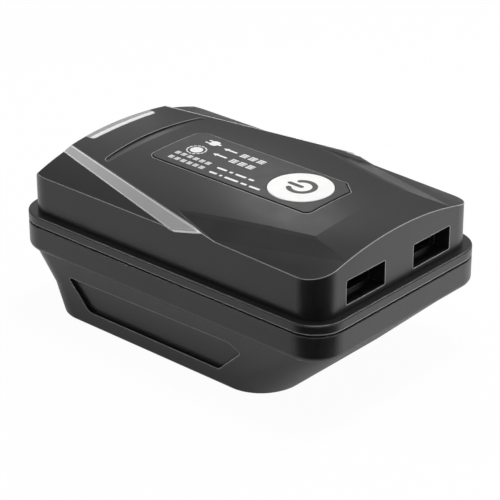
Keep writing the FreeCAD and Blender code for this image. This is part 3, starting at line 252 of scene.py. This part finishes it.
def make_area_light(name, direction, distance, width, height, level, target):
    """A soft box; its level is the light that it brings to a surface facing it, 1 being plain white."""
    data = bpy.data.lights.new(name, "AREA")
    data.shape = "RECTANGLE"
    data.size = width
    data.size_y = height
    data.energy = level * math.pi ** 2 * distance ** 2
    light = bpy.data.objects.new(name, data)
    bpy.context.scene.collection.objects.link(light)
    towards = Vector(direction).normalized()
    light.location = Vector(target) + towards * distance
    light.rotation_euler = towards.to_track_quat("Z", "Y").to_euler()
    light.visible_camera = False
    light.visible_glossy = name != BOX_WITHOUT_GLOSS


def make_card(name, corners, strength):
    """A card over the floor that only glossy rays see."""
    material = bpy.data.materials.new(name)
    nodes, links = empty_tree(material)
    face = nodes.new("ShaderNodeEmission")
    face.inputs["Strength"].default_value = strength
    output = nodes.new("ShaderNodeOutputMaterial")
    links.new(face.outputs[0], output.inputs["Surface"])
    card = make_sheet(name, [(x * MM, y * MM, CARD_LIFT) for x, y in corners], material)
    card.visible_camera = False
    card.visible_diffuse = False
    card.visible_transmission = False
    card.visible_shadow = False


class Shade:
    """A material under construction: one principled shader and textures in the object's own metres."""

    def __init__(self, name, colour, roughness, metallic=0.0, specular=0.5):
        self.material = bpy.data.materials.new(name)
        self.material.use_nodes = True
        self.nodes = self.material.node_tree.nodes
        self.links = self.material.node_tree.links
        self.shader = self.nodes["Principled BSDF"]
        self.set("Base Color", (*colour, 1))
        self.set("Roughness", roughness)
        self.set("Metallic", metallic)
        self.set("Specular IOR Level", specular)
        self.place = self.nodes.new("ShaderNodeTexCoord").outputs["Object"]
        self.height = None

    def set(self, socket, value):
        self.shader.inputs[socket].default_value = value

    def stretched(self, scale):
        """The object's coordinates, scaled along each axis."""
        node = self.nodes.new("ShaderNodeMapping")
        node.inputs["Scale"].default_value = scale
        self.links.new(self.place, node.inputs["Vector"])
        return node.outputs["Vector"]

    def noise(self, size, detail=2.0, rough=0.55, place=None):
        """Cloudy noise whose blotches are about size metres across."""
        node = self.nodes.new("ShaderNodeTexNoise")
        node.inputs["Scale"].default_value = 1.0 / size
        node.inputs["Detail"].default_value = detail
        node.inputs["Roughness"].default_value = rough
        self.links.new(place or self.place, node.inputs["Vector"])
        return node.outputs["Fac"]

    def cells(self, size):
        """Distance to the middle of cells that are about size metres across."""
        node = self.nodes.new("ShaderNodeTexVoronoi")
        node.inputs["Scale"].default_value = 1.0 / size
        self.links.new(self.place, node.inputs["Vector"])
        return node.outputs["Distance"]

    def map_range(self, value, start, end, low=0.0, high=1.0):
        """low where value is at start, high where it is at end, and even between them."""
        node = self.nodes.new("ShaderNodeMapRange")
        node.inputs["From Min"].default_value = start
        node.inputs["From Max"].default_value = end
        node.inputs["To Min"].default_value = low
        node.inputs["To Max"].default_value = high
        self.links.new(value, node.inputs["Value"])
        return node.outputs["Result"]

    def ramp(self, value, low, high, at=(0.3, 0.7)):
        """Colour from low to high as value goes through the two places in at."""
        node = self.nodes.new("ShaderNodeValToRGB")
        node.color_ramp.elements[0].position = at[0]
        node.color_ramp.elements[0].color = (*low, 1)
        node.color_ramp.elements[1].position = at[1]
        node.color_ramp.elements[1].color = (*high, 1)
        self.links.new(value, node.inputs["Fac"])
        return node.outputs["Color"]

    def colour_from(self, value, low, high, at=(0.3, 0.7)):
        self.links.new(self.ramp(value, low, high, at), self.shader.inputs["Base Color"])

    def rough_from(self, value, low, high):
        """Roughness from low to high, over the middle of what a noise gives."""
        self.links.new(self.map_range(value, 0.3, 0.7, low, high), self.shader.inputs["Roughness"])

    def painted_edge_highlight(self, colour, reach):
        """Painted highlight: turns the colour laid on before into this one along sharp outer edges, within
        reach metres, standing in for the light that small rounds on those edges would catch.
        """
        openness = self.nodes.new("ShaderNodeAmbientOcclusion")
        openness.inside = True
        openness.only_local = True
        openness.samples = 8
        openness.inputs["Distance"].default_value = reach
        # Mask of the painted edge highlight: full where the inside occlusion says an outer edge is near
        highlight_mask = self.map_range(openness.outputs["AO"], EDGE_HIGHLIGHT_START, EDGE_HIGHLIGHT_FULL)
        mix = self.nodes.new("ShaderNodeMixRGB")
        socket = self.shader.inputs["Base Color"]
        self.links.new(highlight_mask, mix.inputs["Fac"])
        self.links.new(socket.links[0].from_socket, mix.inputs["Color1"])
        mix.inputs["Color2"].default_value = (*colour, 1)
        self.links.new(mix.outputs["Color"], socket)

    def along(self, axis):
        """The object's coordinate along one axis."""
        node = self.nodes.new("ShaderNodeSeparateXYZ")
        self.links.new(self.place, node.inputs["Vector"])
        return node.outputs[axis]

    def bump(self, value, strength, depth):
        """Adds a relief of the given depth in metres over the reliefs that are there already."""
        node = self.nodes.new("ShaderNodeBump")
        node.inputs["Strength"].default_value = strength
        node.inputs["Distance"].default_value = depth
        self.links.new(value, node.inputs["Height"])
        if self.height:
            self.links.new(self.height, node.inputs["Normal"])
        self.height = node.outputs["Normal"]
        self.links.new(self.height, self.shader.inputs["Normal"])


def case_plastic():
    """Charcoal ABS with a spark-eroded satin grain."""
    shade = Shade("case_plastic", (0.012, 0.012, 0.0123), 0.32, specular=0.5)
    shade.colour_from(shade.noise(0.22 * MM, 3, 0.7), (0.009, 0.009, 0.0093), (0.015, 0.015, 0.0153))
    # Painted highlight: light grey along sharp outer edges, in place of the light that small edge rounds
    # would catch
    shade.painted_edge_highlight((0.42, 0.42, 0.42), 0.28 * MM)
    shade.rough_from(shade.noise(9 * MM, 3), 0.29, 0.35)
    shade.bump(shade.noise(0.35 * MM, 3, 0.6), 0.3, 0.008 * MM)
    shade.bump(shade.noise(28 * MM, 2), 0.25, 0.08 * MM)
    return shade.material


def trim_silver():
    """Silver paint with fine flakes over moulded plastic."""
    shade = Shade("trim_silver", (0.42, 0.42, 0.425), 0.5, metallic=0.25)
    shade.colour_from(shade.cells(0.12 * MM), (0.38, 0.38, 0.385), (0.47, 0.47, 0.475), (0.1, 0.6))
    # Painted highlight: near white along the trim's sharp outer edges, in place of the light that its
    # rounded edges would catch
    shade.painted_edge_highlight((0.95, 0.95, 0.95), 0.4 * MM)
    shade.rough_from(shade.noise(0.3 * MM), 0.44, 0.54)
    shade.bump(shade.noise(0.15 * MM, 2), 0.2, 0.008 * MM)
    return shade.material


def lens_plastic():
    """Milky polycarbonate that spreads the light behind it."""
    shade = Shade("lens_plastic", (0.56, 0.56, 0.565), 0.3)
    rear = shade.map_range(shade.along("Y"), LENS_STEP_Y - LENS_STEP_HALF, LENS_STEP_Y + LENS_STEP_HALF)
    shade.colour_from(rear, (0.80, 0.80, 0.81), (0.32, 0.32, 0.325), (0.0, 1.0))
    shade.set("Subsurface Weight", 0.1)
    shade.set("Subsurface Radius", (2.0 * MM, 2.0 * MM, 2.0 * MM))
    shade.set("Subsurface Scale", 1.0)
    shade.rough_from(shade.noise(1.2 * MM), 0.22, 0.3)
    shade.bump(shade.noise(0.5 * MM, 2), 0.1, 0.01 * MM)
    return shade.material


def circuit_board():
    """Green solder mask with copper tracks showing faintly through it."""
    shade = Shade("circuit_board", (0.012, 0.09, 0.035), 0.32)
    shade.colour_from(shade.cells(3.1 * MM), (0.010, 0.075, 0.028), (0.022, 0.13, 0.05), (0.2, 0.35))
    shade.bump(shade.cells(3.1 * MM), 0.3, 0.02 * MM)
    return shade.material


def led_body():
    """White package with a yellow phosphor window."""
    shade = Shade("led_body", (0.75, 0.62, 0.18), 0.4)
    shade.colour_from(shade.noise(0.8 * MM), (0.78, 0.70, 0.30), (0.84, 0.80, 0.55))
    return shade.material


def label_film():
    """Matt printed film, a shade lighter than the case."""
    shade = Shade("label_film", (0.037, 0.037, 0.038), 0.42, specular=0.5)
    shade.colour_from(shade.noise(0.16 * MM, 3, 0.7), (0.030, 0.030, 0.031), (0.044, 0.044, 0.045))
    shade.rough_from(shade.noise(3 * MM), 0.38, 0.46)
    shade.bump(shade.noise(0.2 * MM, 2), 0.2, 0.01 * MM)
    return shade.material


def button_plastic():
    """White satin plastic."""
    shade = Shade("button_plastic", (0.90, 0.90, 0.89), 0.38)
    shade.colour_from(shade.noise(2.5 * MM, 3), (0.88, 0.88, 0.87), (0.92, 0.92, 0.91))
    shade.rough_from(shade.noise(1.5 * MM), 0.34, 0.42)
    shade.bump(shade.noise(0.3 * MM, 2), 0.12, 0.01 * MM)
    return shade.material


def switch_plastic():
    """Dark grey moulded plastic."""
    shade = Shade("switch_plastic", (0.03, 0.03, 0.032), 0.45)
    shade.colour_from(shade.noise(1.1 * MM), (0.024, 0.024, 0.026), (0.036, 0.036, 0.038))
    shade.bump(shade.noise(0.25 * MM), 0.2, 0.015 * MM)
    return shade.material


def usb_steel():
    """Nickel-plated sheet steel, brushed along the socket."""
    shade = Shade("usb_steel", (0.54, 0.54, 0.545), 0.3, metallic=1.0)
    along = shade.stretched((1.0, 0.06, 1.0))
    shade.colour_from(shade.noise(0.08 * MM, 3, 0.6, along), (0.46, 0.46, 0.465), (0.62, 0.62, 0.625))
    shade.rough_from(shade.noise(0.1 * MM, 2, 0.6, along), 0.22, 0.36)
    shade.bump(shade.noise(0.08 * MM, 2, 0.6, along), 0.15, 0.004 * MM)
    return shade.material


def connector_plastic():
    """Black glass-filled nylon."""
    shade = Shade("connector_plastic", (0.016, 0.016, 0.017), 0.5)
    shade.colour_from(shade.noise(0.5 * MM, 3), (0.012, 0.012, 0.013), (0.021, 0.021, 0.022))
    shade.rough_from(shade.noise(0.7 * MM), 0.44, 0.56)
    shade.bump(shade.noise(0.2 * MM, 3), 0.3, 0.02 * MM)
    return shade.material


def contact_gold():
    """Gold-plated spring contacts."""
    shade = Shade("contact_gold", (0.85, 0.62, 0.25), 0.22, metallic=1.0)
    shade.rough_from(shade.noise(0.3 * MM), 0.18, 0.3)
    shade.bump(shade.noise(0.15 * MM), 0.1, 0.004 * MM)
    return shade.material


def blade_metal():
    """Nickel-plated copper blade with fine rolling marks along it."""
    shade = Shade("blade_metal", (0.66, 0.63, 0.57), 0.26, metallic=1.0)
    along = shade.stretched((1.0, 0.05, 1.0))
    shade.colour_from(shade.noise(0.1 * MM, 3, 0.6, along), (0.58, 0.55, 0.49), (0.72, 0.69, 0.62))
    shade.rough_from(shade.noise(0.12 * MM, 2, 0.6, along), 0.2, 0.34)
    shade.bump(shade.noise(0.1 * MM, 2, 0.6, along), 0.15, 0.005 * MM)
    return shade.material


def lead_insulation(name, colour):
    """Soft insulation of a stranded lead."""
    shade = Shade(name, colour, 0.42)
    darker = tuple(c * 0.8 for c in colour)
    shade.colour_from(shade.noise(1.4 * MM), darker, colour)
    shade.bump(shade.noise(0.4 * MM), 0.15, 0.02 * MM)
    return shade.material


def lead_red():
    return lead_insulation("lead_red", (0.45, 0.02, 0.015))


def lead_black():
    return lead_insulation("lead_black", (0.02, 0.02, 0.02))


def capacitor_sleeve():
    """Dark blue heat-shrunk sleeve."""
    shade = Shade("capacitor_sleeve", (0.015, 0.03, 0.10), 0.3)
    shade.colour_from(shade.noise(2 * MM), (0.012, 0.025, 0.085), (0.02, 0.04, 0.12))
    shade.bump(shade.noise(0.8 * MM), 0.2, 0.03 * MM)
    return shade.material


def inductor_body():
    """Grey pressed iron powder."""
    shade = Shade("inductor_body", (0.11, 0.11, 0.11), 0.62)
    shade.colour_from(shade.noise(0.3 * MM, 4, 0.7), (0.08, 0.08, 0.08), (0.14, 0.14, 0.14))
    shade.bump(shade.noise(0.25 * MM, 3), 0.5, 0.05 * MM)
    return shade.material


def chip_epoxy():
    """Black moulding compound."""
    shade = Shade("chip_epoxy", (0.018, 0.018, 0.018), 0.55)
    shade.colour_from(shade.noise(0.2 * MM, 3), (0.014, 0.014, 0.014), (0.024, 0.024, 0.024))
    shade.bump(shade.noise(0.1 * MM, 3), 0.3, 0.01 * MM)
    return shade.material


def screw_steel():
    """Black-zinc screw steel with turning marks."""
    shade = Shade("screw_steel", (0.20, 0.20, 0.21), 0.34, metallic=1.0)
    shade.colour_from(shade.noise(0.4 * MM, 3), (0.16, 0.16, 0.17), (0.25, 0.25, 0.26))
    shade.rough_from(shade.noise(0.25 * MM), 0.28, 0.42)
    shade.bump(shade.noise(0.15 * MM), 0.15, 0.006 * MM)
    return shade.material


def print_ink(name, colour, roughness):
    """Screen-printed ink, a little uneven."""
    shade = Shade(name, colour, roughness)
    darker = tuple(c * 0.86 for c in colour)
    shade.colour_from(shade.noise(0.25 * MM, 3, 0.7), darker, colour)
    shade.bump(shade.noise(0.12 * MM), 0.2, 0.004 * MM)
    return shade.material


FINISHES = (case_plastic, trim_silver, lens_plastic, circuit_board, led_body, label_film,
            button_plastic, switch_plastic, usb_steel, connector_plastic, contact_gold,
            blade_metal, lead_red, lead_black, capacitor_sleeve, inductor_body, chip_epoxy,
            screw_steel)


def dress_nodes():
    """Gives each node's material slots the finish of the same name."""
    made = {make.__name__: make() for make in FINISHES}
    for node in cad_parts.values():
        for slot in node.material_slots:
            finish = slot.material.name.split(".")[0]
            slot.material = made[finish]


def label_height(x, y):
    """Height of the label plate's top, which bends along X alone."""
    top = LABEL_BOX[1].z
    return top - LABEL_BEND_RADIUS + math.sqrt(LABEL_BEND_RADIUS ** 2 - x ** 2)


def print_mesh(name, outlines, height, material, body):
    """A thin print made of flat closed outlines of (x, y), laid on a surface z = height(x, y)."""
    build = bmesh.new()
    for outline in outlines:
        top = [build.verts.new((x, y, height(x, y) + PRINT_LIFT)) for x, y in outline]
        foot = [build.verts.new((x, y, height(x, y) - PRINT_BITE)) for x, y in outline]
        build.faces.new(top)
        count = len(outline)
        for i in range(count):
            j = (i + 1) % count
            build.faces.new((top[i], foot[i], foot[j], top[j]))
    bmesh.ops.recalc_face_normals(build, faces=build.faces)
    mesh = bpy.data.meshes.new(name)
    build.to_mesh(mesh)
    build.free()
    mesh.materials.append(material)
    piece = bpy.data.objects.new(name, mesh)
    bpy.context.scene.collection.objects.link(piece)
    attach(piece, body)


def bar(x, y0, y1, width, corner=0.3):
    """A bar along Y with rounded corners; corner is a share of half its width."""
    half = width / 2
    y0, y1 = sorted((y0, y1))
    radius = min(half, (y1 - y0) / 2) * corner
    steps = 4
    outline = []
    for cx, cy, start in ((x + half - radius, y1 - radius, 0), (x - half + radius, y1 - radius, 90),
                          (x - half + radius, y0 + radius, 180), (x + half - radius, y0 + radius, 270)):
        for k in range(steps + 1):
            angle = math.radians(start + 90 * k / steps)
            outline.append((cx + radius * math.cos(angle), cy + radius * math.sin(angle)))
    return outline


def disc(x, y, radius, count=40):
    """A circle of count points."""
    return [(x + radius * math.cos(2 * math.pi * k / count), y + radius * math.sin(2 * math.pi * k / count))
            for k in range(count)]


def arc_band(x, y, radius, width, start_deg, end_deg, steps):
    """A band along an arc, with round ends."""
    half = width / 2
    outline = []
    for r, first, last in ((radius + half, start_deg, end_deg), (radius - half, end_deg, start_deg)):
        for k in range(steps + 1):
            angle = math.radians(first + (last - first) * k / steps)
            outline.append((x + r * math.cos(angle), y + r * math.sin(angle)))
        tip = math.radians(last)
        cx = x + radius * math.cos(tip)
        cy = y + radius * math.sin(tip)
        turn = 0 if r > radius else 180
        for k in range(1, 6):
            angle = math.radians(last + turn + 180 * k / 6)
            outline.append((cx + half * math.cos(angle), cy + half * math.sin(angle)))
    return outline


def arrow(x, tail_y, tip_y, shaft, head, head_length):
    """An arrow along +Y."""
    neck = tip_y - head_length
    return [(x - shaft / 2, tail_y), (x + shaft / 2, tail_y), (x + shaft / 2, neck), (x + head / 2, neck),
            (x, tip_y), (x - head / 2, neck), (x - shaft / 2, neck)]


def block_row(x, y_start, count, size, pitch):
    """A row of small blocks of three strokes each, running towards -Y."""
    outlines = []
    for i in range(count):
        y1 = y_start - i * pitch
        for k in (-1, 0, 1):
            outlines.append(bar(x + k * size * 0.36, y1 - size, y1, size * 0.24))
    return outlines


def dash_row(x, y_start, lengths):
    """Dashes that run towards -Y from y_start."""
    outlines = []
    y = y_start
    for length in lengths:
        outlines.append(bar(x, y - length, y, DASH_WIDTH * MM, 0.8))
        y -= length + DASH_GAP * MM
    return outlines


def sun_sign(x, y):
    """A disc with a ring of rays."""
    outlines = [disc(x, y, 1.75 * MM)]
    for i in range(SUN_RAYS):
        middle = 360 * i / SUN_RAYS
        outlines.append(arc_band(x, y, 2.6 * MM, 0.42 * MM, middle - 6, middle + 6, 3))
    return outlines


def plug_sign(x, y):
    """A plug with two pins."""
    outlines = [bar(x, y - 1.6 * MM, y + 0.9 * MM, 3.0 * MM, 0.6)]
    outlines.append(bar(x - 0.8 * MM, y + 0.9 * MM, y + 2.2 * MM, 0.55 * MM))
    outlines.append(bar(x + 0.8 * MM, y + 0.9 * MM, y + 2.2 * MM, 0.55 * MM))
    outlines.append(bar(x, y - 2.6 * MM, y - 1.6 * MM, 0.8 * MM))
    return outlines


def make_label_print():
    """Generic signs, blocks and dashes on the label plate."""
    outlines = sun_sign(SUN_PLACE[0] * MM, SUN_PLACE[1] * MM)
    outlines += plug_sign(PLUG_PLACE[0] * MM, PLUG_PLACE[1] * MM)
    for x, tail in ARROWS:
        outlines.append(arrow(x * MM, tail * MM, ARROW_TIP_Y * MM,
                              ARROW_SHAFT * MM, ARROW_HEAD * MM, ARROW_HEAD_LENGTH * MM))
    for x, y, count, size, pitch in BLOCK_ROWS:
        outlines += block_row(x * MM, y * MM, count, size * MM, pitch * MM)
    for x, y, lengths in DASH_ROWS:
        outlines += dash_row(x * MM, y * MM, [length * MM for length in lengths])
    ink = print_ink("print_white", (0.90, 0.90, 0.90), 0.45)
    print_mesh("label_print", outlines, label_height, ink, "housing")


def button_height(x, y):
    """Height of the button's top."""
    low, high = BUTTON_BOX
    centre = low.lerp(high, 0.5)
    radius = (DISH_HALF_WIDTH ** 2 + DISH_DEPTH ** 2) / (2 * DISH_DEPTH)
    off = math.hypot(x - centre.x, y - centre.y)
    return high.z - DISH_DEPTH + radius - math.sqrt(radius ** 2 - off ** 2)


def make_power_symbol():
    """A ring that is open towards +Y, with a bar in the opening."""
    cx, cy = SYMBOL_CENTRE
    start = 90 + SYMBOL_GAP_DEG
    end = 450 - SYMBOL_GAP_DEG
    outlines = [arc_band(cx, cy, SYMBOL_RADIUS, SYMBOL_STROKE, start, end, 40)]
    outlines.append(bar(cx, cy + SYMBOL_BAR[0], cy + SYMBOL_BAR[1], SYMBOL_BAR_WIDTH, 1.0))
    ink = print_ink("print_grey", (0.075, 0.075, 0.078), 0.45)
    print_mesh("power_symbol", outlines, button_height, ink, "button")


bpy.context.scene.view_settings.view_transform = "Standard"
make_camera()
make_world()
make_floor()
for box in SOFT_BOXES:
    make_area_light(*box)
for sheet in CARDS:
    make_card(*sheet)
dress_nodes()
make_label_print()
make_power_symbol()
